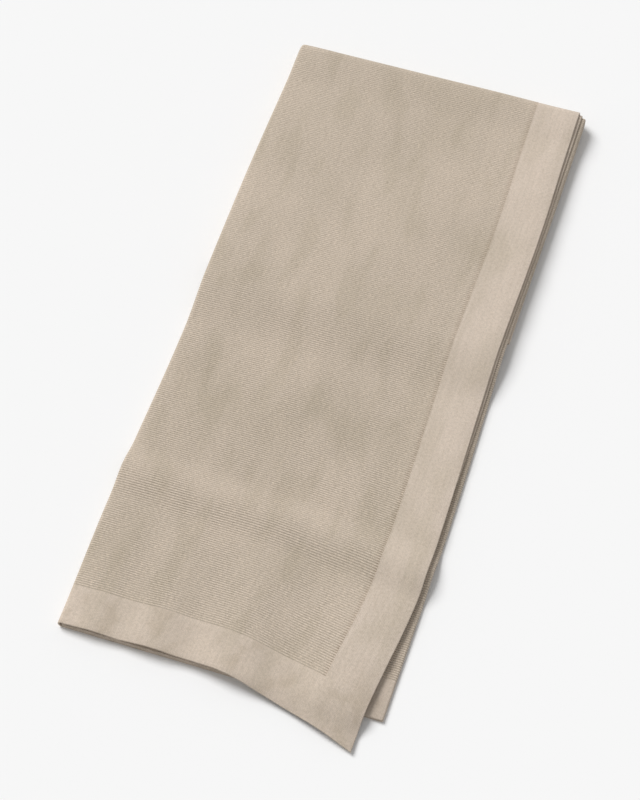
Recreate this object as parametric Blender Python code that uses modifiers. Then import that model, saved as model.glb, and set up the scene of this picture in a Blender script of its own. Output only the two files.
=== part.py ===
"""A knitted blanket, folded in half lengthwise twice, with its far end turned under.

Metres, +Z up. X runs across the folded blanket, and +Y from its near hem to the turn at its far end. The
origin is on the floor, below the middle of the blanket's box.

The cloth is one sheet. A point of it has a distance along, from the near hem, and a place across: the top
layer from its bordered edge to the outer left fold, the bottom layer to the right fold, the third layer to
the inner left fold, and the second layer back to the other bordered edge. The four layers lie at four lifts
above and below the pack's middle line, which is drawn from the side: flat on the floor, up over the end that
is tucked below, and round the turn.
"""

import bmesh
import bpy
import numpy as np

# The cloth
CLOTH_LENGTH = 1.95
THICKNESS = 0.003
KNIT_COLOUR = (0.53, 0.44, 0.34, 1.0)
KNIT_ROUGHNESS = 0.95

# The folded pack
FOLDED_WIDTH = 0.61
FOLDED_LENGTH = 1.39
LAYER_STEP = 0.0046
OUTER_BULGE = 0.0060
INNER_BACK = 0.0040
LEFT_FOLD = -FOLDED_WIDTH / 2 + OUTER_BULGE + THICKNESS / 2
RIGHT_FOLD = FOLDED_WIDTH / 2 - (LAYER_STEP + THICKNESS) / 2
PACK_HEIGHT = 3 * LAYER_STEP + THICKNESS
FLOOR_LINE = PACK_HEIGHT / 2
# The lift of each layer over the pack's middle line
TOP_LIFT = 1.5 * LAYER_STEP
SECOND_LIFT = 0.5 * LAYER_STEP
THIRD_LIFT = -0.5 * LAYER_STEP
BOTTOM_LIFT = -1.5 * LAYER_STEP

# The far end, turned under
TURN_RADIUS = 0.0125
TURN_START = FOLDED_LENGTH - TURN_RADIUS - FLOOR_LINE
TUCK_GAP = 0.0015
TUCK_RISE = PACK_HEIGHT + TUCK_GAP
TUCK_STEP = (0.660, 0.790)
TURN_STEP = (TURN_START - 0.085, TURN_START)

# How far the right fold shows past the top layer's edge: (distance along, width that shows)
PEEK = ((0.0, 0.034), (0.31, 0.009), (0.66, 0.010), (1.00, 0.006), (1.41, 0.013), (CLOTH_LENGTH, 0.014))
# How far the right fold shows past the second layer's edge
SECOND_PEEK = ((0.0, 0.046), (0.31, 0.015), (0.66, 0.0055), (1.00, 0.0030), (1.41, 0.0065), (CLOTH_LENGTH, 0.020))
# How far each fold wanders inwards: (distance along, way in)
LEFT_WANDER = ((0.0, 0.004), (0.26, 0.0), (0.62, 0.005), (1.05, 0.001), (1.40, 0.004), (CLOTH_LENGTH, 0.002))
RIGHT_WANDER = ((0.0, 0.003), (0.35, 0.0), (0.80, 0.006), (1.20, 0.002), (1.41, 0.0), (CLOTH_LENGTH, 0.003))

# The top layer's near hem is level for a share of the width, then runs out further to its right corner
HEM_LEVEL = 0.40
HEM_SKEW = 0.086
HEM_CURVE = 1.6
SKEW_RUN = 1.10
HEM_FALL = 0.048

# How far from a fold its two layers start to slip past each other
SLIDE_RUN = 0.110

# Soft flutes of the top layer at the near hem: (share of the width, half width as a share, height)
FLUTES = (
    (0.100, 0.085, 0.0040),
    (0.285, 0.105, 0.0085),
    (0.525, 0.150, 0.0115),
    (0.835, 0.160, 0.0095),
)
FLUTE_FADE = 0.46
# Crosswise ridges in all layers: (y at the left, y at the right, half width, height)
RIDGES = ((0.335, 0.292, 0.062, 0.0110),)
# Loose places in the top layer: (share of the width, y, half width as a share, half length, height)
PUFFS = (
    (0.40, 0.575, 0.28, 0.150, 0.0060),
    (0.62, 1.020, 0.30, 0.200, 0.0060),
    (0.30, 1.235, 0.24, 0.130, 0.0045),
)

# The mesh: (end of the stretch along the cloth, steps)
ROW_STRETCHES = (
    (0.06, 5),
    (0.225, 5),
    (0.400, 10),
    (0.650, 4),
    (0.800, 9),
    (1.285, 4),
    (1.370, 4),
    (1.436, 14),
    (1.460, 2),
    (CLOTH_LENGTH, 4),
)
TOP_COLUMNS = 17
LOWER_COLUMNS = 5
OUTER_FOLD_COLUMNS = 6
FOLD_COLUMNS = 4
# The side line: its step, its points round the turn, how far it runs back below, and the rounds of settling
LINE_STEP = 0.0005
TURN_POINTS = 120
LINE_END = 0.40
SETTLE_ROUNDS = 40


def smooth(share):
    """An even ramp from 0 to 1 with level ends."""
    share = np.clip(share, 0.0, 1.0)
    return share * share * (3.0 - 2.0 * share)


def eased(table, at):
    """The value at a place, from rows of (place, value), level at each row."""
    places, values = np.array(table).T
    row = np.clip(np.searchsorted(places, at) - 1, 0, len(places) - 2)
    share = (at - places[row]) / (places[row + 1] - places[row])
    return values[row] + (values[row + 1] - values[row]) * smooth(share)


def bump(distance, half_width):
    """A rounded hill, 1 at its middle and 0 from half_width on."""
    share = np.clip(np.abs(distance) / half_width, 0.0, 1.0)
    return np.cos(0.5 * np.pi * share) ** 2


def side_line():
    """The pack's middle line, from the side: distance along it, y, z and the angle it runs at."""
    y = np.arange(-2 * HEM_SKEW, TURN_START, LINE_STEP)
    hem = np.argmin(np.abs(y))
    tuck = smooth((y - TUCK_STEP[0]) / (TUCK_STEP[1] - TUCK_STEP[0]))
    turn = smooth((y - TURN_STEP[0]) / (TURN_STEP[1] - TURN_STEP[0]))
    z = FLOOR_LINE + TUCK_RISE * tuck + (2 * TURN_RADIUS - TUCK_RISE) * turn
    angle = np.linspace(0.5 * np.pi, -0.5 * np.pi, TURN_POINTS)
    round_y = TURN_START + TURN_RADIUS * np.cos(angle)
    round_z = FLOOR_LINE + TURN_RADIUS * (1.0 + np.sin(angle))
    back_y = np.arange(TURN_START - LINE_STEP, LINE_END, -LINE_STEP)
    y = np.concatenate([y, round_y, back_y])
    z = np.concatenate([z, round_z, np.full_like(back_y, FLOOR_LINE)])
    along = np.concatenate([[0.0], np.cumsum(np.hypot(np.diff(y), np.diff(z)))])
    along -= along[hem]
    heading = np.unwrap(np.arctan2(np.gradient(z), np.gradient(y)))
    return along, y, z, heading


def rows_along():
    """The distances along the cloth of the mesh's rows."""
    rows = [0.0]
    for end, steps in ROW_STRETCHES:
        rows.extend(np.linspace(rows[-1], end, steps + 1)[1:])
    return np.array(rows)


def across(start, end, steps):
    """x of the columns from one place to another, one row of the result for each column."""
    return start + (end - start) * np.linspace(0.0, 1.0, steps + 1)[:, None]


def fold(x, bulge, start, end, steps):
    """x and lift of a half round fold from one lift to another, bulging to the left or the right."""
    angle = np.linspace(0.0, np.pi, steps + 1)[1:-1, None]
    lift = (start + end) / 2 + (start - end) / 2 * np.cos(angle)
    return x + bulge * np.sin(angle), lift + 0.0 * x


def section(along):
    """x, lift and slide of every column at each row: four layers and the three folds between them.

    The slide is the lift by which a column's length round the turn is measured. It is the layer's own lift,
    and eases into that of the fold, because neighbouring layers can't slip past each other where they join.
    """
    left = LEFT_FOLD + eased(LEFT_WANDER, along)
    right = RIGHT_FOLD - eased(RIGHT_WANDER, along)
    edge = right + LAYER_STEP / 2 - eased(PEEK, along)
    second_edge = right + LAYER_STEP / 2 - eased(SECOND_PEEK, along)
    inner = left + INNER_BACK

    def own(x, lift, fold_left, fold_right):
        """The slide of a layer, from its lift and the lifts that it meets at the left and the right."""
        at_left = 1.0 - smooth((x - left) / SLIDE_RUN)
        at_right = 1.0 - smooth((right - x) / SLIDE_RUN)
        return lift + (fold_left - lift) * at_left + (fold_right - lift) * at_right

    top = across(edge, left, TOP_COLUMNS)
    outer_x, outer_lift = fold(left, -OUTER_BULGE, TOP_LIFT, BOTTOM_LIFT, OUTER_FOLD_COLUMNS)
    bottom = across(left, right, LOWER_COLUMNS)
    right_x, right_lift = fold(right, LAYER_STEP / 2, BOTTOM_LIFT, THIRD_LIFT, FOLD_COLUMNS)
    third = across(right, inner, LOWER_COLUMNS)
    inner_x, inner_lift = fold(inner, -LAYER_STEP / 2, THIRD_LIFT, SECOND_LIFT, FOLD_COLUMNS)
    second = across(inner, second_edge, LOWER_COLUMNS)
    pieces = (
        (top, np.full_like(top, TOP_LIFT), own(top, TOP_LIFT, 0.0, TOP_LIFT)),
        (outer_x, outer_lift, np.zeros_like(outer_x)),
        (bottom, np.full_like(bottom, BOTTOM_LIFT), own(bottom, BOTTOM_LIFT, 0.0, -LAYER_STEP)),
        (right_x, right_lift, np.full_like(right_x, -LAYER_STEP)),
        (third, np.full_like(third, THIRD_LIFT), own(third, THIRD_LIFT, 0.0, -LAYER_STEP)),
        (inner_x, inner_lift, np.zeros_like(inner_x)),
        (second, np.full_like(second, SECOND_LIFT), own(second, SECOND_LIFT, 0.0, SECOND_LIFT)),
    )
    x, lift, slide = (np.concatenate(parts) for parts in zip(*pieces))
    is_top = (np.arange(len(x)) < len(top)).astype(float)[:, None]
    return x, lift, slide, is_top


def hem_skew(x, along):
    """How far the top layer is drawn towards the near end, most at its right corner."""
    share = (x - LEFT_FOLD) / (RIGHT_FOLD - LEFT_FOLD)
    past = np.clip((share - HEM_LEVEL) / (1.0 - HEM_LEVEL), 0.0, 1.0)
    fade = np.clip(1.0 - along / SKEW_RUN, 0.0, 1.0) ** 3
    return HEM_SKEW * past**HEM_CURVE * fade


def settle(along, slide, line):
    """The place on the middle line of a point that lies a length of its own layer from the hem."""
    line_along, _, _, heading = line
    place = along
    for _ in range(SETTLE_ROUNDS):
        place = along + slide * np.interp(place, line_along, heading)
    return place


def rise_of_all(x, y):
    """Crosswise ridges that lift every layer."""
    share = (x - LEFT_FOLD) / (RIGHT_FOLD - LEFT_FOLD)
    rise = np.zeros_like(x)
    for y_left, y_right, half_width, height in RIDGES:
        rise += height * bump(y - (y_left + (y_right - y_left) * share), half_width)
    return rise


def rise_of_top(x, y):
    """Flutes and loose places of the top layer, and its fall to the floor beyond the layers below."""
    share = (x - LEFT_FOLD) / (RIGHT_FOLD - LEFT_FOLD)
    fade = 1.0 - smooth((y + HEM_SKEW) / FLUTE_FADE)
    rise = np.zeros_like(x)
    for place, half_width, height in FLUTES:
        rise += height * fade * bump(share - place, half_width)
    for place, y_middle, half_width, half_length, height in PUFFS:
        rise += height * bump(share - place, half_width) * bump(y - y_middle, half_length)
    return rise - 3 * LAYER_STEP * smooth(-y / HEM_FALL)


def folded_sheet():
    """The points of the folded sheet's middle surface, by column and row."""
    along = rows_along()
    x, lift, slide, is_top = section(along)
    line = side_line()
    line_along, line_y, line_z, heading = line
    place = settle(along - is_top * hem_skew(x, along), slide, line)
    turn = np.interp(place, line_along, heading)
    y = np.interp(place, line_along, line_y) - lift * np.sin(turn)
    z = np.interp(place, line_along, line_z) + lift * np.cos(turn)
    upper = turn > -0.5 * np.pi
    z += upper * (rise_of_all(x, y) + is_top * rise_of_top(x, y))
    return np.stack([x, y, z], axis=-1)


def knit():
    material = bpy.data.materials.new("knit")
    material.use_nodes = True
    shader = material.node_tree.nodes["Principled BSDF"]
    shader.inputs["Base Color"].default_value = KNIT_COLOUR
    shader.inputs["Roughness"].default_value = KNIT_ROUGHNESS
    shader.inputs["Metallic"].default_value = 0.0
    shader.inputs["Sheen Weight"].default_value = 0.3
    return material


def grid_object(name, points):
    """A grid mesh whose vertices are moved to the points, as one object."""
    columns, rows = points.shape[:2]
    shape = bmesh.new()
    bmesh.ops.create_grid(shape, x_segments=columns - 1, y_segments=rows - 1, size=1.0)
    mesh = bpy.data.meshes.new(name)
    shape.to_mesh(mesh)
    shape.free()
    flat = np.empty(len(mesh.vertices) * 3)
    mesh.vertices.foreach_get("co", flat)
    flat = flat.reshape(-1, 3)
    column = np.rint((flat[:, 0] + 1.0) / 2.0 * (columns - 1)).astype(int)
    row = np.rint((flat[:, 1] + 1.0) / 2.0 * (rows - 1)).astype(int)
    mesh.vertices.foreach_set("co", points[column, row].ravel())
    mesh.update()
    return bpy.data.objects.new(name, mesh)


def thicken(sheet):
    solidify = sheet.modifiers.new("Thickness", "SOLIDIFY")
    solidify.thickness = THICKNESS
    solidify.offset = 0.0
    solidify.use_even_offset = True


def stand_on_origin(sheet):
    """Moves the mesh so that the origin is below the middle of the solid's box, on the floor."""
    bpy.context.view_layer.update()
    solid = sheet.evaluated_get(bpy.context.evaluated_depsgraph_get())
    corners = np.array([list(corner) for corner in solid.bound_box])
    low = corners.min(axis=0)
    high = corners.max(axis=0)
    points = np.empty(len(sheet.data.vertices) * 3)
    sheet.data.vertices.foreach_get("co", points)
    points = points.reshape(-1, 3) - [(low[0] + high[0]) / 2, (low[1] + high[1]) / 2, low[2]]
    sheet.data.vertices.foreach_set("co", points.ravel())
    sheet.data.update()


def clear_scene():
    for thing in list(bpy.data.objects):
        bpy.data.objects.remove(thing, do_unlink=True)


def main():
    clear_scene()
    collection = bpy.data.collections.new("folded_blanket")
    bpy.context.scene.collection.children.link(collection)
    blanket = grid_object("blanket", folded_sheet())
    collection.objects.link(blanket)
    blanket.data.materials.append(knit())
    blanket.data.shade_smooth()
    thicken(blanket)
    stand_on_origin(blanket)


main()
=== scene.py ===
"""Dresses a knitted blanket, folded in half lengthwise twice, with its far end turned under.

Metres, +Z up. The cloth is one sheet, drawn as a surface of two parameters. One runs across the cloth: from
the top layer's bordered edge to the outer left fold, along the bottom layer to the right fold, back along the
third layer to the inner left fold, and along the second layer to the other bordered edge. The other is the
distance along the cloth, from its near hem to its tucked hem. Layers are counted from 0 at the top.
The field's crosswise ridges are in the mesh, two rows of points to a ridge. Stitches, yarn and fuzz are in
the finish, which reads the cloth's own UV map in metres.
"""

from __future__ import annotations

import logging
import math
from dataclasses import dataclass, field
from enum import Enum

import bpy
import numpy as np
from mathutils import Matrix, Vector

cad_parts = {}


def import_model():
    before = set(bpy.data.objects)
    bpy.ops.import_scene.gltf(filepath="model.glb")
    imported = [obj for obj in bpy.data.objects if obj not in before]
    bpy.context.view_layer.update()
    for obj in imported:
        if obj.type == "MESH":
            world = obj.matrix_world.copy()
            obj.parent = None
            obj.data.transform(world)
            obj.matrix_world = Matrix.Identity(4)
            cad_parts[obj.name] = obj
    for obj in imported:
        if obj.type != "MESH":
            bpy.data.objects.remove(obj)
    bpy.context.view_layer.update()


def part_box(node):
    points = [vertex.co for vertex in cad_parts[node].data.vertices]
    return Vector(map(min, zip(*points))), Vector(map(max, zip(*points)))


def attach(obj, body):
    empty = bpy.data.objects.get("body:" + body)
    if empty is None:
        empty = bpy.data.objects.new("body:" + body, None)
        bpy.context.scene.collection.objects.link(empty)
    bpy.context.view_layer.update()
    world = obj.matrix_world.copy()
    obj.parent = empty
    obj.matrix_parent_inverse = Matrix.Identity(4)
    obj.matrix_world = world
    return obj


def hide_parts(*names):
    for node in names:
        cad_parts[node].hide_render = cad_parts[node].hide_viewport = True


LOG = logging.getLogger("blanket")
NODE = "blanket"
BODY = "root"
SLOT = "knit"

Array = np.ndarray
Table = tuple[tuple[float, ...], ...]
Colour = tuple[float, float, float, float]
Pair = tuple[float, float]
Range = tuple[float, float, float, float]
Columns = tuple[Array, Array, Array]
Settings = tuple[tuple[str, float | Colour], ...]
Socket = bpy.types.NodeSocket


class Face(Enum):
    """The two faces of the cloth, with the side of its middle surface that each lies on."""

    RIGHT = 1.0
    WRONG = -1.0


class Operation(Enum):
    """The arithmetic that the finishes use."""

    ADD = "ADD"
    SUBTRACT = "SUBTRACT"
    MULTIPLY = "MULTIPLY"
    DIVIDE = "DIVIDE"
    MINIMUM = "MINIMUM"
    MAXIMUM = "MAXIMUM"
    COSINE = "COSINE"
    FLOOR = "FLOOR"
    FRACTION = "FRACT"
    ABSOLUTE = "ABSOLUTE"


def smooth(share: Array) -> Array:
    """Eases a share s, held between 0 and 1, with level ends: 3 s squared less 2 s cubed."""
    held = np.clip(share, 0.0, 1.0)
    return held * held * (3.0 - 2.0 * held)


def eased(table: Table, at: Array) -> Array:
    """Reads a table of (place, value) rows, easing from each row to the next with level ends.

    Args:
        table: Rows of place and value, places rising.
        at: The places to read.

    Returns:
        The value at each place.
    """
    places, values = np.array(table).T
    row = np.clip(np.searchsorted(places, at) - 1, 0, len(places) - 2)
    share = (at - places[row]) / (places[row + 1] - places[row])
    return values[row] + (values[row + 1] - values[row]) * smooth(share)


def bump(distance: Array, half_width: float) -> Array:
    """A rounded hill, 1 in its middle: cosine squared of a quarter turn over its half width."""
    share = np.clip(np.abs(distance) / half_width, 0.0, 1.0)
    return np.cos(0.5 * np.pi * share) ** 2


def tangents(points: Array, axis: int) -> Array:
    """Directions along one axis of a grid of points.

    Each is the sum of the steps on both sides, each divided by its length squared, so that the nearer
    neighbour counts for more.

    Args:
        points: Grid of points, columns by rows by 3.
        axis: 0 for across the cloth, 1 for along it.

    Returns:
        A direction for each point, not of unit length.
    """
    steps = np.diff(points, axis=axis)
    steps = steps / np.sum(steps * steps, axis=-1, keepdims=True)
    first = np.take(steps, [0], axis=axis)
    last = np.take(steps, [-1], axis=axis)
    return np.concatenate([first, steps], axis=axis) + np.concatenate([steps, last], axis=axis)


@dataclass(frozen=True)
class Cloth:
    """The cloth as it is knitted, laid flat. Its ridges get flatter towards the far end.

    flatter holds where that starts and ends along the cloth, and the share of the height that is left.
    """

    width: float = 2.40
    length: float = 1.95
    thickness: float = 0.0033
    hem_border: float = 0.080
    side_border: float = 0.086
    ridge_pitch: float = 0.0044
    ridge_height: float = 0.00031
    groove: float = 0.0010
    stitch_width: float = 0.0034
    flatter: tuple[float, float, float] = (0.45, 1.05, 0.70)

    @property
    def ridges(self) -> int:
        """How many ridges the field has, which is a whole number."""
        return round((self.length - 2 * self.hem_border) / self.ridge_pitch)

    @property
    def pitch(self) -> float:
        """The ridge pitch that fits a whole number of ridges between the two hem borders."""
        return (self.length - 2 * self.hem_border) / self.ridges

    def from_edges(self, across: Array, along: Array) -> tuple[Array, Array]:
        """Distance from the nearer side edge, and from the nearer hem."""
        return np.minimum(across, self.width - across), np.minimum(along, self.length - along)


@dataclass(frozen=True)
class FoldPlan:
    """How the cloth is folded and lies. These are the sizes of the solid that it covers.

    The columns of its tables are:
        peek, second_peek: distance along, width of the right fold that shows past that layer's edge.
        left_wander, right_wander: distance along, how far that fold lies inwards.
        flutes: share of the width, half width as a share, height.
        ridges: y at the left, y at the right, half width, height.
        puffs: share of the width, y, half width as a share, half length, height.
    """

    folded_width: float = 0.61
    folded_length: float = 1.39
    layer_step: float = 0.0046
    sheet: float = 0.003
    outer_bulge: float = 0.0060
    inner_back: float = 0.0040
    turn_radius: float = 0.0125
    tuck_gap: float = 0.0015
    tuck_step: Pair = (0.660, 0.790)
    turn_step_length: float = 0.085
    peek: Table = (
        (0.0, 0.034),
        (0.31, 0.009),
        (0.66, 0.010),
        (1.00, 0.006),
        (1.41, 0.013),
        (1.95, 0.014),
    )
    second_peek: Table = (
        (0.0, 0.046),
        (0.31, 0.015),
        (0.66, 0.0055),
        (1.00, 0.0030),
        (1.41, 0.0065),
        (1.95, 0.020),
    )
    left_wander: Table = (
        (0.0, 0.004),
        (0.26, 0.0),
        (0.62, 0.005),
        (1.05, 0.001),
        (1.40, 0.004),
        (1.95, 0.002),
    )
    right_wander: Table = (
        (0.0, 0.003),
        (0.35, 0.0),
        (0.80, 0.006),
        (1.20, 0.002),
        (1.41, 0.0),
        (1.95, 0.003),
    )
    hem_level: float = 0.40
    hem_skew: float = 0.086
    hem_curve: float = 1.6
    skew_run: float = 1.10
    hem_fall: float = 0.048
    slide_run: float = 0.110
    flutes: Table = (
        (0.100, 0.085, 0.0040),
        (0.285, 0.105, 0.0085),
        (0.525, 0.150, 0.0115),
        (0.835, 0.160, 0.0095),
    )
    flute_fade: float = 0.46
    ridges: Table = ((0.335, 0.292, 0.062, 0.0110),)
    puffs: Table = (
        (0.40, 0.575, 0.28, 0.150, 0.0060),
        (0.62, 1.020, 0.30, 0.200, 0.0060),
        (0.30, 1.235, 0.24, 0.130, 0.0045),
    )

    @property
    def left_fold(self) -> float:
        """x of the outer left fold's start."""
        return -self.folded_width / 2 + self.outer_bulge + self.sheet / 2

    @property
    def right_fold(self) -> float:
        """x of the right fold's start."""
        return self.folded_width / 2 - (self.layer_step + self.sheet) / 2

    @property
    def pack_height(self) -> float:
        """Height of the four layers."""
        return 3 * self.layer_step + self.sheet

    def lift(self, layer: int) -> float:
        """Height of a layer over the pack's middle line."""
        return (1.5 - layer) * self.layer_step

    @property
    def turn_start(self) -> float:
        """y at which the far turn starts."""
        return self.folded_length - self.turn_radius - self.pack_height / 2

    def share(self, x: Array) -> Array:
        """The place across the folded width, 0 at the left fold and 1 at the right one."""
        return (x - self.left_fold) / (self.right_fold - self.left_fold)


class SideLine:
    """The pack's middle line from the side: flat, up over the tucked end, round the turn, and back below.

    Its points are STEP apart, with TURN_POINTS round the turn, and it comes back as far as y END. ROUNDS is
    how often settle repeats its sum.
    """

    STEP = 0.0005
    TURN_POINTS = 120
    END = 0.40
    ROUNDS = 40

    def __init__(self, plan: FoldPlan) -> None:
        """Traces the line as points with their distance along it and the angle that it runs at.

        Args:
            plan: The sizes of the folded pack.
        """
        floor_line = plan.pack_height / 2
        rise = plan.pack_height + plan.tuck_gap
        start = plan.turn_start
        y = np.arange(-2 * plan.hem_skew, start, self.STEP)
        hem = int(np.argmin(np.abs(y)))
        tuck = smooth((y - plan.tuck_step[0]) / (plan.tuck_step[1] - plan.tuck_step[0]))
        turn = smooth((y - start + plan.turn_step_length) / plan.turn_step_length)
        z = floor_line + rise * tuck + (2 * plan.turn_radius - rise) * turn
        angle = np.linspace(0.5 * np.pi, -0.5 * np.pi, self.TURN_POINTS)
        round_y = start + plan.turn_radius * np.cos(angle)
        round_z = floor_line + plan.turn_radius * (1.0 + np.sin(angle))
        back_y = np.arange(start - self.STEP, self.END, -self.STEP)
        self.y = np.concatenate([y, round_y, back_y])
        self.z = np.concatenate([z, round_z, np.full_like(back_y, floor_line)])
        steps = np.hypot(np.diff(self.y), np.diff(self.z))
        along = np.concatenate([[0.0], np.cumsum(steps)])
        self.along = along - along[hem]
        self.heading = np.unwrap(np.arctan2(np.gradient(self.z), np.gradient(self.y)))

    def settle(self, along: Array, slide: Array) -> Array:
        """Finds the place on the line of a point that lies a length of its own layer from the hem.

        A layer outside the line is longer round a bend by its lift times the angle turned, so the place is
        the length plus lift times heading, solved by repeating it.

        Args:
            along: The length along the layer.
            slide: The lift by which that length is measured.

        Returns:
            The distance along the middle line.
        """
        place = along
        for _ in range(self.ROUNDS):
            place = along + slide * np.interp(place, self.along, self.heading)
        return place

    def at(self, place: Array) -> tuple[Array, Array, Array]:
        """Reads the line.

        Args:
            place: Distances along the line.

        Returns:
            y, z and heading at each of them.
        """
        y = np.interp(place, self.along, self.y)
        z = np.interp(place, self.along, self.z)
        return y, z, np.interp(place, self.along, self.heading)


@dataclass
class FoldLines:
    """x of the three folds and of the two bordered edges, at every row."""

    left: Array
    right: Array
    inner: Array
    edge: Array
    second_edge: Array


@dataclass
class Section:
    """The columns of the cloth's grid, each an array of columns by rows, and the rows' distances along."""

    along: Array
    x: Array
    lift: Array
    slide: Array
    across: Array
    is_top: Array


@dataclass
class KnitGrid:
    """Lays out the rows and columns of the cloth's grid over its folded section."""

    cloth: Cloth
    plan: FoldPlan
    edge_steps: int = 3
    hem_steps: int = 9
    border_steps: int = 3
    field_steps: int = 18
    outer_fold_steps: int = 8
    fold_steps: int = 5
    lower_steps: int = 3
    lower_border_steps: int = 1

    @property
    def round_edge(self) -> Array:
        """Distances from an edge of the points round it: half the thickness times 1 less a cosine."""
        angle = np.linspace(0.0, 0.5 * np.pi, self.edge_steps + 1)
        return self.cloth.thickness / 2 * (1.0 - np.cos(angle))

    def rows(self) -> Array:
        """Lays out the rows: each hem's edge and border, and between them two rows to a ridge.

        Returns:
            Their distances along the cloth.
        """
        cloth = self.cloth
        edge = self.round_edge
        border = np.linspace(edge[-1], cloth.hem_border - cloth.groove, self.hem_steps + 1)[1:]
        hem = np.concatenate([edge, border])
        ridged = np.linspace(cloth.hem_border, cloth.length - cloth.hem_border, 2 * cloth.ridges + 1)
        return np.concatenate([hem, ridged, cloth.length - hem[::-1]])

    @staticmethod
    def spread(start: Array, end: Array, steps: int) -> Array:
        """x of even columns from one place to another at every row, without the first."""
        return start + (end - start) * np.linspace(0.0, 1.0, steps + 1)[1:, None]

    def fold(self, x: Array, bulge: float, layers: tuple[int, int], steps: int, slide: float) -> Columns:
        """A half round fold from one layer to another.

        Args:
            x: Where the layers meet the fold, at every row.
            bulge: How far the fold reaches to the right of there, or to the left if negative.
            layers: The numbers of the two layers, in order.
            steps: How many steps round the fold.
            slide: The lift by which its length round the turn is measured.

        Returns:
            x, lift and slide of the columns between the two layers.
        """
        start, end = (self.plan.lift(layer) for layer in layers)
        angle = np.linspace(0.0, np.pi, steps + 1)[1:-1, None]
        lift = (start + end) / 2 + (start - end) / 2 * np.cos(angle)
        x = x + bulge * np.sin(angle)
        return x, lift + 0.0 * x, np.full_like(x, slide)

    def layer(self, x: Array, lines: FoldLines, layer: int, at_right: float) -> Columns:
        """One flat layer, with the lift by which its length round the turn is measured, called its slide.

        The slide is the layer's own lift, and eases into the folds' slides, because layers can't slip past
        each other where they join.

        Args:
            x: x of the layer's columns.
            lines: x of the folds.
            layer: The layer's number.
            at_right: The slide at the right fold. At the left one it is 0.

        Returns:
            x, lift and slide of the columns.
        """
        lift, run = self.plan.lift(layer), self.plan.slide_run
        near_left = 1.0 - smooth((x - lines.left) / run)
        near_right = 1.0 - smooth((lines.right - x) / run)
        slide = lift - lift * near_left + (at_right - lift) * near_right
        return x, np.full_like(x, lift), slide

    def fold_lines(self, along: Array) -> FoldLines:
        """Reads where the folds and the bordered edges lie.

        Args:
            along: The rows' distances along the cloth.

        Returns:
            x of each of them at every row.
        """
        plan = self.plan
        left = plan.left_fold + eased(plan.left_wander, along)
        right = plan.right_fold - eased(plan.right_wander, along)
        furthest = right + plan.layer_step / 2
        edge = furthest - eased(plan.peek, along)
        second_edge = furthest - eased(plan.second_peek, along)
        return FoldLines(left, right, left + plan.inner_back, edge, second_edge)

    def top_layer(self, lines: FoldLines) -> Array:
        """Lays out the top layer: round its edge, over the border and the groove beside it, to the fold.

        Args:
            lines: x of the folds and the edges.

        Returns:
            x of its columns.
        """
        cloth, edge = self.cloth, lines.edge
        rim = self.round_edge[:, None]
        groove_start = edge - cloth.side_border + cloth.groove
        groove_end = edge - cloth.side_border - cloth.groove
        return np.concatenate(
            [
                edge - rim,
                self.spread(edge - rim[-1], groove_start, self.border_steps),
                self.spread(groove_start, groove_end, 1),
                self.spread(groove_end, lines.left, self.field_steps),
            ]
        )

    def second_layer(self, lines: FoldLines) -> Array:
        """Lays out the second layer: from the inner fold, over the field and the border, to its edge.

        Args:
            lines: x of the folds and the edges.

        Returns:
            x of its columns.
        """
        cloth, edge = self.cloth, lines.second_edge
        rim = self.round_edge[::-1, None]
        groove_start = edge - cloth.side_border - cloth.groove
        groove_end = edge - cloth.side_border + cloth.groove
        return np.concatenate(
            [
                lines.inner[None, :],
                self.spread(lines.inner, groove_start, self.lower_steps),
                self.spread(groove_start, groove_end, 1),
                self.spread(groove_end, edge - rim[0], self.lower_border_steps),
                edge - rim[1:],
            ]
        )

    def section(self) -> Section:
        """Works out every column: four layers and the three folds between them.

        Returns:
            The grid's columns and rows.
        """
        plan, step = self.plan, self.plan.layer_step
        along = self.rows()
        lines = self.fold_lines(along)
        left, right, inner = lines.left, lines.right, lines.inner
        bottom = np.concatenate([left[None, :], self.spread(left, right, self.lower_steps)])
        third = np.concatenate([right[None, :], self.spread(right, inner, self.lower_steps)])
        pieces = (
            self.layer(self.top_layer(lines), lines, 0, plan.lift(0)),
            self.fold(left, -plan.outer_bulge, (0, 3), self.outer_fold_steps, 0.0),
            self.layer(bottom, lines, 3, -step),
            self.fold(right, step / 2, (3, 2), self.fold_steps, -step),
            self.layer(third, lines, 2, -step),
            self.fold(inner, -step / 2, (2, 1), self.fold_steps, 0.0),
            self.layer(self.second_layer(lines), lines, 1, plan.lift(1)),
        )
        x, lift, slide = (np.concatenate(parts) for parts in zip(*pieces))
        ends = np.cumsum([len(piece[0]) for piece in pieces])
        is_top = (np.arange(len(x)) < ends[0]).astype(float)[:, None]
        # The two lowest layers and the fold between them are pieces 2, 3 and 4.
        across = self.across(x, lift, ends[1], ends[4] - 1)
        return Section(along, x, lift, slide, across, is_top)

    def across(self, x: Array, lift: Array, first: int, last: int) -> Array:
        """Distance across the cloth, measured from each bordered edge. The two lowest layers take the rest.

        Args:
            x: x of every column.
            lift: Lift of every column.
            first: The first column of the two lowest layers.
            last: Their last column.

        Returns:
            The distance from the top layer's bordered edge, 0 to the cloth's width.
        """
        steps = np.hypot(np.diff(x, axis=0), np.diff(lift, axis=0))
        measured = np.concatenate([np.zeros((1, x.shape[1])), np.cumsum(steps, axis=0)])
        from_end = self.cloth.width - (measured[-1] - measured)
        share = (measured - measured[first]) / (measured[last] - measured[first])
        share = np.clip(share, 0.0, 1.0)
        return measured * (1.0 - share) + from_end * share


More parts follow.
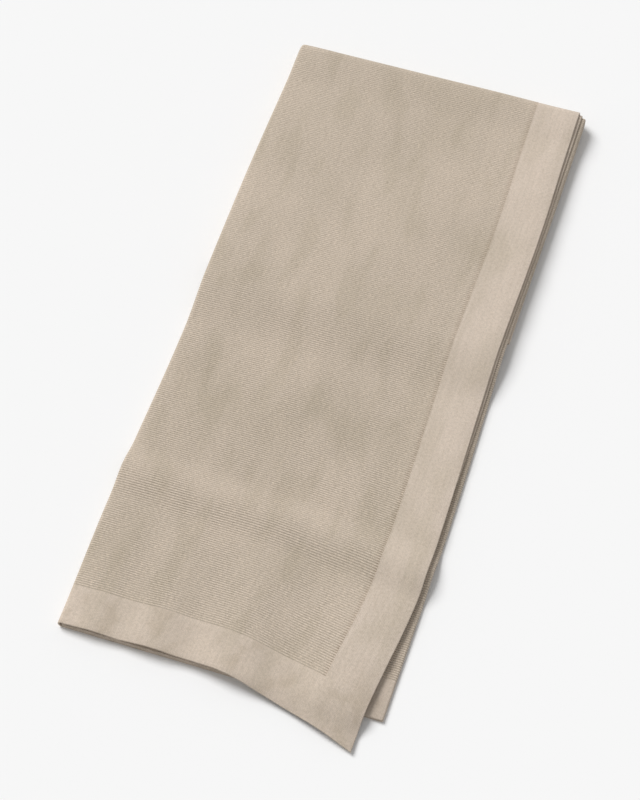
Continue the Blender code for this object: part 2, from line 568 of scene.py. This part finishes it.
@dataclass
class FoldedBlanket:
    """The blanket: one sheet of knit, both faces and their rounded edges in one closed mesh.

    The columns of ripples are rate, phase and height. Those of unevenness are rate across, rate along, phase
    and height. A rate is an angle in radians for each metre.
    """

    cloth: Cloth = field(default_factory=Cloth)
    plan: FoldPlan = field(default_factory=FoldPlan)
    ripples: Table = (
        (71.0, 0.3, 0.0010),
        (113.0, 1.9, 0.0007),
    )
    ripple_reach: float = 0.060
    unevenness: Table = (
        (17.0, 9.0, 0.4, 0.00055),
        (-11.0, 23.0, 2.2, 0.00045),
        (29.0, 14.0, 4.1, 0.00035),
    )

    def rise_of_all(self, x: Array, y: Array) -> Array:
        """Crosswise ridges that lift every layer: rounded hills whose middle line slants across.

        Args:
            x: x of the points.
            y: y of the points, from the under layers' hem.

        Returns:
            The lift in metres.
        """
        share = self.plan.share(x)
        rise = np.zeros_like(x)
        for y_left, y_right, half_width, height in self.plan.ridges:
            rise = rise + height * bump(y - (y_left + (y_right - y_left) * share), half_width)
        return rise

    def rise_of_top(self, x: Array, y: Array) -> Array:
        """Lift of the top layer alone.

        Lengthwise flutes are rounded hills that fade from the hem inwards, loose places are hills in both
        directions, and past the layers below the hem comes down to the floor by an eased ramp.

        Args:
            x: x of the points.
            y: y of the points, from the under layers' hem.

        Returns:
            The lift in metres.
        """
        plan = self.plan
        share = plan.share(x)
        fade = 1.0 - smooth((y + plan.hem_skew) / plan.flute_fade)
        rise = np.zeros_like(x)
        for place, half_width, height in plan.flutes:
            rise = rise + height * fade * bump(share - place, half_width)
        for place, y_middle, half_width, half_length, height in plan.puffs:
            rise = rise + height * bump(share - place, half_width) * bump(y - y_middle, half_length)
        return rise - 3 * plan.layer_step * smooth(-y / plan.hem_fall)

    def fine_rise(self, section: Section, x: Array, y: Array) -> Array:
        """Small unevenness of the top layer: waves near its free edges and a faint swell all over.

        Each wave is half of 1 plus a sine, so that it only lifts.

        Args:
            section: The grid.
            x: x of the points.
            y: y of the points.

        Returns:
            The lift in metres.
        """
        near_side = 1.0 - smooth(section.across / self.ripple_reach)
        near_hem = 1.0 - smooth(section.along / self.ripple_reach)
        rise = np.zeros_like(x)
        for rate, phase, height in self.ripples:
            rise = rise + near_side * height * 0.5 * (1.0 + np.sin(rate * y + phase))
            rise = rise + near_hem * height * 0.5 * (1.0 + np.sin(rate * x + phase))
        for rate_x, rate_y, phase, height in self.unevenness:
            rise = rise + height * 0.5 * (1.0 + np.sin(rate_x * x + rate_y * y + phase))
        inside = smooth((section.x - self.plan.left_fold) / self.ripple_reach)
        return rise * inside * section.is_top

    def middle_surface(self, section: Section) -> Array:
        """The middle surface of the sheet, in the folded place.

        A point is the middle line's place for its length, moved by its lift along the line's normal, then
        raised by what lifts all layers and what lifts the top one.

        Args:
            section: The grid.

        Returns:
            Points, columns by rows by 3.
        """
        plan = self.plan
        line = SideLine(plan)
        past = np.clip((plan.share(section.x) - plan.hem_level) / (1.0 - plan.hem_level), 0.0, 1.0)
        fade = np.clip(1.0 - section.along / plan.skew_run, 0.0, 1.0) ** 3
        skew = plan.hem_skew * past**plan.hem_curve * fade
        place = line.settle(section.along - section.is_top * skew, section.slide)
        y, z, turn = line.at(place)
        y = y - section.lift * np.sin(turn)
        z = z + section.lift * np.cos(turn)
        upper = turn > -0.5 * np.pi
        rise = self.rise_of_all(section.x, y) + section.is_top * self.rise_of_top(section.x, y)
        rise = rise + self.fine_rise(section, section.x, y)
        return np.stack([section.x, y, z + upper * rise], axis=-1)

    def ridge_wave(self, section: Section) -> Array:
        """Height of the field's ridges: a cosine of the distance along, eased to 0 in the border.

        Args:
            section: The grid.

        Returns:
            The height over the middle surface at every point, less towards the far end.
        """
        cloth = self.cloth
        from_side, from_hem = cloth.from_edges(section.across, section.along)
        side = np.clip((from_side - cloth.side_border + cloth.groove) / (2 * cloth.groove), 0.0, 1.0)
        hem = np.clip((from_hem - cloth.hem_border + cloth.groove) / cloth.groove, 0.0, 1.0)
        wave = -np.cos(2 * np.pi * (section.along - cloth.hem_border) / cloth.pitch)
        start, end, left = cloth.flatter
        height = cloth.ridge_height * (1.0 - (1.0 - left) * smooth((section.along - start) / (end - start)))
        return height * wave * side * hem

    def half_thickness(self, section: Section) -> Array:
        """Half the sheet's thickness: a quarter circle at every edge, and even inside.

        Args:
            section: The grid.

        Returns:
            Half the thickness at every point.
        """
        cloth = self.cloth
        from_side, from_hem = cloth.from_edges(section.across, section.along)
        radius = cloth.thickness / 2
        share = np.clip(np.minimum(from_side, from_hem) / radius, 0.0, 1.0)
        return radius * np.sqrt(np.clip(1.0 - (1.0 - share) ** 2, 0.0, 1.0))

    def build(self) -> bpy.types.Object:
        """Makes the cloth's mesh and places it on its solid.

        Returns:
            The blanket's object, with its UV map in metres.
        """
        section = KnitGrid(self.cloth, self.plan).section()
        middle = self.middle_surface(section)
        normal = np.cross(tangents(middle, 1), tangents(middle, 0))
        normal = normal / np.linalg.norm(normal, axis=-1, keepdims=True)
        half = self.half_thickness(section)
        wave = self.ridge_wave(section)
        faces = {side: middle + normal * (side.value * half + wave)[..., None] for side in Face}
        columns, rows = half.shape
        right_index = np.arange(columns * rows).reshape(columns, rows)
        wrong_index = right_index.copy()
        inner_count = (columns - 2) * (rows - 2)
        wrong_index[1:-1, 1:-1] = columns * rows + np.arange(inner_count).reshape(columns - 2, rows - 2)
        wrong_inside = faces[Face.WRONG][1:-1, 1:-1].reshape(-1, 3)
        points = self.placed(np.concatenate([faces[Face.RIGHT].reshape(-1, 3), wrong_inside]))
        quads = np.concatenate([self.quads(right_index), self.quads(wrong_index)[:, ::-1]])
        corners = right_index[[0, 0, -1, -1], [0, -1, 0, -1]]
        mesh = bpy.data.meshes.new("knitted_blanket")
        mesh.from_pydata(points.tolist(), [], self.split_corners(quads, corners))
        self.map_cloth(mesh, section)
        self.crease_ridges(mesh, section)
        blanket = bpy.data.objects.new("knitted_blanket", mesh)
        bpy.context.scene.collection.objects.link(blanket)
        return blanket

    @staticmethod
    def quads(index: Array) -> Array:
        """Four corners of each cell of a grid of point numbers, turning about the face's outward side."""
        corners = [index[:-1, :-1], index[:-1, 1:], index[1:, 1:], index[1:, :-1]]
        return np.stack(corners, axis=-1).reshape(-1, 4)

    @staticmethod
    def split_corners(quads: Array, corners: Array) -> list[list[int]]:
        """Splits the cells at the cloth's corners through the corner's own point, where the two faces meet.

        Args:
            quads: The cells of both faces.
            corners: The point numbers of the cloth's corners.

        Returns:
            All faces, each as a list of point numbers.
        """
        at_corner = np.isin(quads, corners)
        cut = at_corner.any(axis=1)
        turns = (np.argmax(at_corner[cut], axis=1)[:, None] + np.arange(4)) % 4
        turned = np.take_along_axis(quads[cut], turns, axis=1)
        triangles = np.concatenate([turned[:, [0, 1, 2]], turned[:, [0, 2, 3]]])
        return quads[~cut].tolist() + triangles.tolist()

    @staticmethod
    def placed(points: Array) -> Array:
        """Moves the points so that they stand on the floor, over the middle of the solid's box.

        Args:
            points: The cloth's points.

        Returns:
            The moved points.
        """
        low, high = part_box(NODE)
        middle = (np.array(low) + np.array(high)) / 2
        lowest = points.min(axis=0)
        highest = points.max(axis=0)
        shift = middle - (lowest + highest) / 2
        shift[2] = low[2] - lowest[2]
        return points + shift

    @staticmethod
    def on_points(values: Array) -> Array:
        """Each grid place's value, for the mesh's points: the right face, then the wrong one's inside."""
        return np.concatenate([values.ravel(), values[1:-1, 1:-1].ravel()])

    def map_cloth(self, mesh: bpy.types.Mesh, section: Section) -> None:
        """Writes the UV map: distance across and along the cloth, in metres.

        Args:
            mesh: The cloth's mesh.
            section: The grid that it was made from.
        """
        along = np.broadcast_to(section.along, section.across.shape)
        places = np.stack([self.on_points(section.across), self.on_points(along)], axis=-1)
        corner = np.empty(len(mesh.loops), dtype=np.int32)
        mesh.loops.foreach_get("vertex_index", corner)
        layer = mesh.uv_layers.new(name="cloth")
        layer.data.foreach_set("uv", places[corner].astype(np.float32).ravel())

    def crease_ridges(self, mesh: bpy.types.Mesh, section: Section) -> None:
        """Shades the mesh smooth, but for the edges that run along each ridge's top and foot.

        Args:
            mesh: The cloth's mesh.
            section: The grid that it was made from.
        """
        mesh.shade_smooth()
        columns, rows = section.across.shape
        ridged = np.abs(self.ridge_wave(section)) > 0.5 * self.cloth.flatter[2] * self.cloth.ridge_height
        row = self.on_points(np.broadcast_to(np.arange(rows), (columns, rows)))
        on_ridge = self.on_points(ridged)
        ends = np.empty(2 * len(mesh.edges), dtype=np.int32)
        mesh.edges.foreach_get("vertices", ends)
        first, second = ends.reshape(-1, 2).T
        sharp = (row[first] == row[second]) & on_ridge[first] & on_ridge[second]
        mesh.edges.foreach_set("use_edge_sharp", sharp)
        mesh.update()


@dataclass(frozen=True)
class Place:
    """Where on the cloth: the distance across and along it, in metres."""

    across: Socket
    along: Socket


class Graph:
    """Wires shader nodes. Most methods add a node and return its output."""

    COLOUR_INPUTS = (6, 7)
    COLOUR_OUTPUT = 2

    def __init__(self, name: str) -> None:
        """Starts a material with its Principled BSDF.

        Args:
            name: The material's name.
        """
        self.material = bpy.data.materials.new(name)
        self.material.use_nodes = True
        self.tree = self.material.node_tree
        self.shader = self.tree.nodes["Principled BSDF"]

    def set_shader(self, settings: Settings) -> None:
        """Sets the shader's own inputs, from pairs of name and value."""
        for name, value in settings:
            self.shader.inputs[name].default_value = value

    def link(self, value: Socket | float | Colour, target: Socket) -> None:
        """Joins a socket to an input, or sets the input's value.

        Args:
            value: The socket or the value.
            target: The input.
        """
        if isinstance(value, bpy.types.NodeSocket):
            self.tree.links.new(value, target)
        else:
            target.default_value = value

    def math(self, operation: Operation, *values: Socket | float) -> Socket:
        """One step of arithmetic.

        Args:
            operation: What to work out.
            values: One or two numbers.

        Returns:
            The result.
        """
        node = self.tree.nodes.new("ShaderNodeMath")
        node.operation = operation.value
        for value, target in zip(values, node.inputs):
            self.link(value, target)
        return node.outputs[0]

    def ramp(self, value: Socket, start: float, end: float, low: float = 0.0, high: float = 1.0) -> Socket:
        """Eases from one number to another, with level ends.

        Args:
            value: What the ramp reads.
            start: Where it begins. It may be more than end.
            end: Where it ends.
            low: The number at start.
            high: The number at end.

        Returns:
            The eased number.
        """
        node = self.tree.nodes.new("ShaderNodeMapRange")
        node.interpolation_type = "SMOOTHSTEP"
        for number, amount in zip((value, start, end, low, high), node.inputs):
            self.link(number, amount)
        return node.outputs[0]

    def noise(self, across: Socket, along: Socket, detail: float = 2.0, roughness: float = 0.5) -> Socket:
        """Noise with marks about one unit in size.

        Args:
            across: Where across, in units.
            along: Where along, in units.
            detail: How many finer layers it has.
            roughness: How strong they are.

        Returns:
            The noise, from 0 to 1.
        """
        place = self.tree.nodes.new("ShaderNodeCombineXYZ")
        self.link(across, place.inputs[0])
        self.link(along, place.inputs[1])
        node = self.tree.nodes.new("ShaderNodeTexNoise")
        node.noise_dimensions = "2D"
        self.link(place.outputs[0], node.inputs["Vector"])
        for name, value in (("Scale", 1.0), ("Detail", detail), ("Roughness", roughness)):
            node.inputs[name].default_value = value
        return node.outputs["Fac"]

    def marks(self, place: Place, size: Pair, *layers: float) -> Socket:
        """Noise with marks of a size on the cloth.

        Args:
            place: Where on the cloth.
            size: The marks' width across and length along.
            layers: The noise's detail and roughness, where they aren't the usual ones.

        Returns:
            The noise, from 0 to 1.
        """
        wide = self.math(Operation.DIVIDE, place.across, size[0])
        long = self.math(Operation.DIVIDE, place.along, size[1])
        return self.noise(wide, long, *layers)

    def mix(self, share: Socket | float, first: Socket | Colour, second: Socket | Colour) -> Socket:
        """Blends two colours.

        Args:
            share: How much of the second.
            first: The first colour.
            second: The second colour.

        Returns:
            The blend.
        """
        node = self.tree.nodes.new("ShaderNodeMix")
        node.data_type = "RGBA"
        self.link(share, node.inputs[0])
        for colour, place in zip((first, second), self.COLOUR_INPUTS):
            self.link(colour, node.inputs[place])
        return node.outputs[self.COLOUR_OUTPUT]

    def tint(self, share: Socket | float, colour: Socket | Colour, tint: Colour) -> Socket:
        """Multiplies a colour by a tint.

        Args:
            share: How much of the tint's strength.
            colour: The colour.
            tint: The tint.

        Returns:
            The tinted colour.
        """
        product = self.mix(share, colour, tint)
        product.node.blend_type = "MULTIPLY"
        return product


@dataclass(frozen=True)
class Variation:
    """A soft variation of the colour, as marks of a width and a length on the cloth: mostly the yarn's own
    tone, in some uses partly painted shade.

    The marks are noise. Its low values take the dark tint and its high ones the light tint, with a quiet
    range between them, and each comes up over its spread.
    """

    size: Pair
    dark: Colour
    light: Colour
    spread: float = 0.14
    quiet: float = 0.0
    detail: float = 1.0

    def over(self, graph: Graph, place: Place, colour: Socket) -> Socket:
        """Applies the variation to a colour.

        Args:
            graph: The material's graph.
            place: Where on the cloth.
            colour: The colour so far.

        Returns:
            The varied colour.
        """
        mark = graph.marks(place, self.size, self.detail)
        dark = graph.ramp(mark, 0.5 - self.quiet, 0.5 - self.quiet - self.spread)
        light = graph.ramp(mark, 0.5 + self.quiet, 0.5 + self.quiet + self.spread)
        return graph.tint(light, graph.tint(dark, colour, self.dark), self.light)


@dataclass(frozen=True)
class KnitFinish:
    """Marl yarn, knitted in crosswise ridges with a smooth border.

    A range is where a ramp starts and ends, then, if it has four numbers, what it gives there. Marks have a
    width across the cloth and a length along it.
    """

    cloth: Cloth
    surface: Settings = (
        ("Roughness", 0.92),
        ("Specular IOR Level", 0.22),
        ("Sheen Weight", 0.18),
        ("Sheen Roughness", 0.45),
        ("Sheen Tint", (1.0, 0.96, 0.9, 1.0)),
    )
    ridge_top: Colour = (0.660, 0.562, 0.465, 1.0)
    # Grooves and the gaps between loops: a darker, greener yarn tone, partly painted shade in the hollows.
    groove: Colour = (0.438, 0.374, 0.299, 1.0)
    border: Colour = (0.695, 0.595, 0.505, 1.0)
    # Painted shade: this tint darkens the hems, fading out over the shares of the hem border that follow.
    hem_painted_shade: Colour = (0.925, 0.922, 0.912, 1.0)
    hem_shade_and_mottle_run: Pair = (0.75, 2.0)
    # Painted shade in the grooves' ends by the side border, and the distance over which it fades.
    pit_shade: Colour = (0.72, 0.66, 0.62, 1.0)
    pit_shade_run: float = 0.014
    # Painted shade between the border's stitches.
    between_stitches_shade: Colour = (0.86, 0.85, 0.83, 1.0)
    groove_range: Pair = (-0.95, 0.35)
    tooth: float = 0.0013
    side_blur: float = 0.0006
    hem_blur: float = 0.0003
    loop_shift: float = 0.618
    loop_range: Range = (0.0, 0.7, 0.86, 1.0)
    dash_length: float = 0.0085
    dash_rows: Pair = (0.37, 3.7)
    dash_range: Range = (0.32, 0.66, 0.70, 1.0)
    depth_marks: Pair = (0.040, 0.095)
    depth_range: Range = (0.36, 0.64, 0.62, 1.0)
    middling: float = 0.56
    wale: float = 0.0028
    course: float = 0.0022
    leg_slant: float = 1.1
    leg_range: Pair = (-1.0, 0.4)
    column_range: Pair = (0.5, 0.36)
    plain_height: float = 0.4
    fibre_height: float = 0.4
    fibre_marks: Pair = (0.0010, 0.0008)
    fibre_layers: Pair = (3.0, 0.7)
    relief_strength: float = 0.6
    relief_depth: float = 0.0007
    yarn: Variation = Variation((0.0018, 0.0010), (0.84, 0.84, 0.83, 1.0), (1.12, 1.11, 1.10, 1.0))
    fleck: Variation = Variation(
        (0.0058, 0.0021), (0.90, 0.89, 0.87, 1.0), (1.13, 1.12, 1.10, 1.0), 0.08, 0.10
    )
    heather: Variation = Variation((0.0065, 0.0042), (0.970, 0.972, 0.970, 1.0), (1.022, 1.02, 1.02, 1.0))
    streak: Variation = Variation((0.0034, 0.0900), (0.975, 0.975, 0.97, 1.0), (1.02, 1.02, 1.02, 1.0))
    smooth_yarn: Variation = Variation((0.0020, 0.0014), (0.925, 0.925, 0.92, 1.0), (1.06, 1.055, 1.05, 1.0))
    marl: Variation = Variation(
        (0.0062, 0.0050), (0.958, 0.953, 0.94, 1.0), (1.025, 1.025, 1.024, 1.0), 0.10, 0.04
    )
    # The hems' mottle: partly a random tone, partly painted shade of the soft folds near the hem.
    hem_mottle_and_shade: Variation = Variation(
        (0.0420, 0.0500), (0.895, 0.888, 0.862, 1.0), (1.035, 1.034, 1.032, 1.0), 0.24
    )
    # Long soft bands along the cloth: partly a random tone, partly painted shade of the lengthwise flutes.
    blotch_and_flute_shade: Variation = Variation(
        (0.0450, 0.1500), (0.941, 0.942, 0.926, 1.0), (1.014, 1.012, 1.012, 1.0), 0.22
    )
    bank: Variation = Variation(
        (0.1600, 0.2100), (0.955, 0.956, 0.945, 1.0), (1.03, 1.028, 1.03, 1.0), 0.20
    )

    def material(self) -> bpy.types.Material:
        """Makes the material.

        Returns:
            The knit, for a mesh whose UV map is in metres.
        """
        graph = Graph(SLOT)
        place = self.cloth_place(graph)
        wave, number = self.ridges(graph, place)
        from_side, from_hem = self.from_edges(graph, place)
        border = self.border_share(graph, from_side, from_hem, wave)
        ridge = self.stitched_ridge(graph, place, wave, number)
        ridge = self.uneven_depth(graph, place, ridge)
        # Painted shade: the grooves darken further into small pits by the side border.
        groove = graph.tint(self.pit_shade_share(graph, from_side), self.groove, self.pit_shade)
        # The groove colour here is partly painted shade in the hollows between ridges and loops.
        field_colour = graph.mix(ridge, groove, self.ridge_top)
        for variation in (self.fleck, self.yarn):
            field_colour = variation.over(graph, place, field_colour)
        colour = graph.mix(border, field_colour, self.border_colour(graph, place, from_hem))
        # The second of these is partly painted shade of the lengthwise flutes.
        for variation in (self.heather, self.blotch_and_flute_shade, self.bank):
            colour = variation.over(graph, place, colour)
        graph.link(colour, graph.shader.inputs["Base Color"])
        graph.link(self.relief(graph, place, ridge, border), graph.shader.inputs["Normal"])
        graph.set_shader(self.surface)
        return graph.material

    @staticmethod
    def cloth_place(graph: Graph) -> Place:
        """Reads the UV map.

        Args:
            graph: The material's graph.

        Returns:
            Where on the cloth the shader is.
        """
        source = graph.tree.nodes.new("ShaderNodeUVMap")
        source.uv_map = "cloth"
        parts = graph.tree.nodes.new("ShaderNodeSeparateXYZ")
        graph.link(source.outputs[0], parts.inputs[0])
        return Place(parts.outputs[0], parts.outputs[1])

    def ridges(self, graph: Graph, place: Place) -> tuple[Socket, Socket]:
        """Works out the ridges: less the cosine of a full turn for each.

        Args:
            graph: The material's graph.
            place: Where on the cloth.

        Returns:
            A wave that is -1 in a groove and 1 on a ridge, and the number of the ridge.
        """
        turns = graph.math(Operation.SUBTRACT, place.along, self.cloth.hem_border)
        turns = graph.math(Operation.DIVIDE, turns, self.cloth.pitch)
        wave = graph.math(Operation.COSINE, graph.math(Operation.MULTIPLY, turns, 2 * math.pi))
        return graph.math(Operation.MULTIPLY, wave, -1.0), graph.math(Operation.FLOOR, turns)

    def from_edges(self, graph: Graph, place: Place) -> tuple[Socket, Socket]:
        """Works out how far the edges are.

        Args:
            graph: The material's graph.
            place: Where on the cloth.

        Returns:
            Distance from the nearer side edge, and from the nearer hem.
        """
        near = []
        for near_end, size in ((place.across, self.cloth.width), (place.along, self.cloth.length)):
            far_end = graph.math(Operation.SUBTRACT, size, near_end)
            near.append(graph.math(Operation.MINIMUM, near_end, far_end))
        return near[0], near[1]

    def border_share(self, graph: Graph, from_side: Socket, from_hem: Socket, wave: Socket) -> Socket:
        """Tells the border from the field. The ridges' ends make small teeth at the side border.

        Args:
            graph: The material's graph.
            from_side: Distance from the nearer side edge.
            from_hem: Distance from the nearer hem.
            wave: The ridges' wave.

        Returns:
            1 in the border and 0 in the field.
        """
        tooth = graph.math(Operation.MULTIPLY, wave, self.tooth)
        from_side = graph.math(Operation.ADD, from_side, tooth)
        side_end, hem_end = self.cloth.side_border, self.cloth.hem_border - self.cloth.groove
        side = graph.ramp(from_side, side_end - self.side_blur, side_end + self.side_blur, 1.0, 0.0)
        hem = graph.ramp(from_hem, hem_end - self.hem_blur, hem_end + self.hem_blur, 1.0, 0.0)
        return graph.math(Operation.MAXIMUM, side, hem)

    def border_colour(self, graph: Graph, place: Place, from_hem: Socket) -> Socket:
        """The border's colour: faintly streaked, and in the hems darkened by painted shade and mottled, the
        mottle partly painted shade as well.

        Args:
            graph: The material's graph.
            place: Where on the cloth.
            from_hem: Distance from the nearer hem.

        Returns:
            The colour.
        """
        colour = self.plain_knit(graph, place)
        for variation in (self.streak, self.smooth_yarn, self.marl):
            colour = variation.over(graph, place, colour)
        # Painted shade: the hems are darkened and mottled, fading out inwards from the hem; the mottle is
        # partly a random tone.
        start, end = (share * self.cloth.hem_border for share in self.hem_shade_and_mottle_run)
        hem = graph.ramp(from_hem, start, end, 1.0, 0.0)
        mottled_and_shaded = self.hem_mottle_and_shade.over(graph, place, graph.tint(1.0, colour, self.hem_painted_shade))
        return graph.mix(hem, colour, mottled_and_shaded)

    def pit_shade_share(self, graph: Graph, from_side: Socket) -> Socket:
        """1 in the field at the side border, where painted shade darkens the grooves' ends to small dark
        pits, and 0 further in.
        """
        start = self.cloth.side_border
        return graph.ramp(from_side, start, start + self.pit_shade_run, 1.0, 0.0)

    def stitched_ridge(self, graph: Graph, place: Place, wave: Socket, number: Socket) -> Socket:
        """How full the knit is: ridges of round loops, each ridge shifted, in long and short dashes.

        Args:
            graph: The material's graph.
            place: Where on the cloth.
            wave: The ridges' wave.
            number: The ridge's number.

        Returns:
            1 on the top of a loop, 0 in a groove.
        """
        loops = graph.math(Operation.DIVIDE, place.across, self.cloth.stitch_width)
        loops = graph.math(Operation.ADD, loops, graph.math(Operation.MULTIPLY, number, self.loop_shift))
        full = graph.math(Operation.COSINE, graph.math(Operation.MULTIPLY, loops, math.pi))
        full = graph.ramp(graph.math(Operation.ABSOLUTE, full), *self.loop_range)
        first, step = self.dash_rows
        row = graph.math(Operation.MULTIPLY, graph.math(Operation.ADD, number, first), step)
        dash = graph.noise(graph.math(Operation.DIVIDE, place.across, self.dash_length), row, 1.0)
        dash = graph.ramp(dash, *self.dash_range)
        ridge = graph.ramp(wave, *self.groove_range)
        return graph.math(Operation.MULTIPLY, ridge, graph.math(Operation.MULTIPLY, full, dash))

    def uneven_depth(self, graph: Graph, place: Place, ridge: Socket) -> Socket:
        """Varies how strongly the ridges show: middling plus the difference from it times a share.

        Args:
            graph: The material's graph.
            place: Where on the cloth.
            ridge: How full the knit is.

        Returns:
            The same with more or less contrast.
        """
        share = graph.ramp(graph.marks(place, self.depth_marks), *self.depth_range)
        start, end, left = self.cloth.flatter
        share = graph.math(Operation.MULTIPLY, share, graph.ramp(place.along, start, end, 1.0, left))
        difference = graph.math(Operation.SUBTRACT, ridge, self.middling)
        return graph.math(Operation.ADD, graph.math(Operation.MULTIPLY, difference, share), self.middling)

    def chevrons(self, graph: Graph, place: Place) -> Socket:
        """Plain knit stitches: columns of small slanted legs.

        Args:
            graph: The material's graph.
            place: Where on the cloth.

        Returns:
            0 between the legs and 1 on them.
        """
        wales = graph.math(Operation.FRACTION, graph.math(Operation.DIVIDE, place.across, self.wale))
        leg = graph.math(Operation.ABSOLUTE, graph.math(Operation.SUBTRACT, wales, 0.5))
        courses = graph.math(Operation.DIVIDE, place.along, self.course)
        slant = graph.math(Operation.ADD, courses, graph.math(Operation.MULTIPLY, leg, self.leg_slant))
        stitch = graph.math(Operation.COSINE, graph.math(Operation.MULTIPLY, slant, 2 * math.pi))
        stitch = graph.ramp(stitch, *self.leg_range)
        return graph.math(Operation.MULTIPLY, stitch, graph.ramp(leg, *self.column_range))

    def plain_knit(self, graph: Graph, place: Place) -> Socket:
        """The border's colour, with painted shade between its stitches."""
        between = graph.math(Operation.SUBTRACT, 1.0, self.chevrons(graph, place))
        return graph.tint(between, self.border, self.between_stitches_shade)

    def relief(self, graph: Graph, place: Place, ridge: Socket, border: Socket) -> Socket:
        """Bump: loops on the ridges, plain stitches in the border, and fibres all over.

        Args:
            graph: The material's graph.
            place: Where on the cloth.
            ridge: How full the knit is.
            border: 1 in the border and 0 in the field.

        Returns:
            The bumped normal.
        """
        fibre = graph.marks(place, self.fibre_marks, *self.fibre_layers)
        field_height = graph.math(Operation.MULTIPLY, ridge, graph.math(Operation.SUBTRACT, 1.0, border))
        plain = graph.math(Operation.MULTIPLY, self.chevrons(graph, place), border)
        plain = graph.math(Operation.MULTIPLY, plain, self.plain_height)
        height = graph.math(Operation.ADD, field_height, plain)
        height = graph.math(Operation.ADD, height, graph.math(Operation.MULTIPLY, fibre, self.fibre_height))
        node = graph.tree.nodes.new("ShaderNodeBump")
        node.inputs["Strength"].default_value = self.relief_strength
        node.inputs["Distance"].default_value = self.relief_depth
        graph.link(height, node.inputs["Height"])
        return node.outputs[0]


@dataclass(frozen=True)
class Studio:
    """A plain pale floor, soft light from the upper left, and the camera."""

    floor_size: float = 60.0
    floor_surface: Settings = (
        ("Base Color", (0.93, 0.93, 0.93, 1.0)),
        ("Roughness", 0.9),
        ("Specular IOR Level", 0.05),
    )
    sky_strength: float = 0.40
    sun_strength: float = 2.62
    sun_azimuth: float = -118.0
    sun_elevation: float = 46.0
    sun_softness: float = 32.0
    camera_azimuth: float = 18.0
    camera_elevation: float = 58.0
    camera_distance: float = 4.30
    camera_width: float = 15.9
    aim: tuple[float, float, float] = (-0.003, -0.072, 0.01)
    picture: tuple[int, int] = (640, 800)

    @staticmethod
    def direction(azimuth: float, elevation: float) -> Vector:
        """The way from the object towards an azimuth and elevation, in degrees. Azimuth 0 is at -Y."""
        a, e = math.radians(azimuth), math.radians(elevation)
        return Vector((math.sin(a) * math.cos(e), -math.cos(a) * math.cos(e), math.sin(e)))

    @staticmethod
    def aimed(name: str, data: bpy.types.Light | bpy.types.Camera, way: Vector) -> bpy.types.Object:
        """Makes the object of a lamp or a camera that looks against a way.

        Args:
            name: The object's name.
            data: The lamp or the camera.
            way: The way from what it looks at towards it.

        Returns:
            The object, in the scene.
        """
        holder = bpy.data.objects.new(name, data)
        holder.rotation_mode = "QUATERNION"
        holder.rotation_quaternion = (-way).to_track_quat("-Z", "Y")
        bpy.context.scene.collection.objects.link(holder)
        return holder

    def floor(self) -> bpy.types.Object:
        """Makes the floor: one large square under the blanket.

        Returns:
            The floor's object.
        """
        half = self.floor_size / 2
        corners = [(-half, -half, 0.0), (half, -half, 0.0), (half, half, 0.0), (-half, half, 0.0)]
        mesh = bpy.data.meshes.new("floor")
        mesh.from_pydata(corners, [], [(0, 1, 2, 3)])
        graph = Graph("floor")
        graph.set_shader(self.floor_surface)
        mesh.materials.append(graph.material)
        floor = bpy.data.objects.new("floor", mesh)
        bpy.context.scene.collection.objects.link(floor)
        return floor

    def light(self) -> None:
        """Sets an even white surround and one large soft lamp."""
        world = bpy.data.worlds.new("surround")
        world.use_nodes = True
        background = world.node_tree.nodes["Background"]
        background.inputs["Color"].default_value = (1.0, 1.0, 1.0, 1.0)
        background.inputs["Strength"].default_value = self.sky_strength
        bpy.context.scene.world = world
        lamp = bpy.data.lights.new("key", "SUN")
        lamp.energy = self.sun_strength
        lamp.angle = math.radians(self.sun_softness)
        self.aimed("key", lamp, self.direction(self.sun_azimuth, self.sun_elevation))
        bpy.context.scene.view_settings.view_transform = "Standard"

    def camera(self) -> bpy.types.Object:
        """Makes the camera, aimed from its azimuth and elevation.

        Returns:
            The camera's object, set as the scene's camera.
        """
        data = bpy.data.cameras.new("camera")
        width, height = self.picture
        tall = math.tan(math.radians(self.camera_width / 2)) * height / width
        data.angle = 2 * math.atan(tall)
        way = self.direction(self.camera_azimuth, self.camera_elevation)
        camera = self.aimed("camera", data, way)
        camera.location = Vector(self.aim) + way * self.camera_distance
        bpy.context.scene.camera = camera
        return camera


def main() -> None:
    """Loads the frame, sets the studio, and makes and dresses the blanket."""
    logging.basicConfig(level=logging.INFO, format="%(message)s")
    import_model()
    studio = Studio()
    studio.floor()
    studio.light()
    studio.camera()
    blanket = FoldedBlanket()
    cloth = blanket.build()
    cloth.data.materials.append(KnitFinish(blanket.cloth).material())
    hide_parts(NODE)
    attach(cloth, BODY)
    LOG.info("%s: %d faces", cloth.name, len(cloth.data.polygons))


if __name__ == "__main__":
    main()
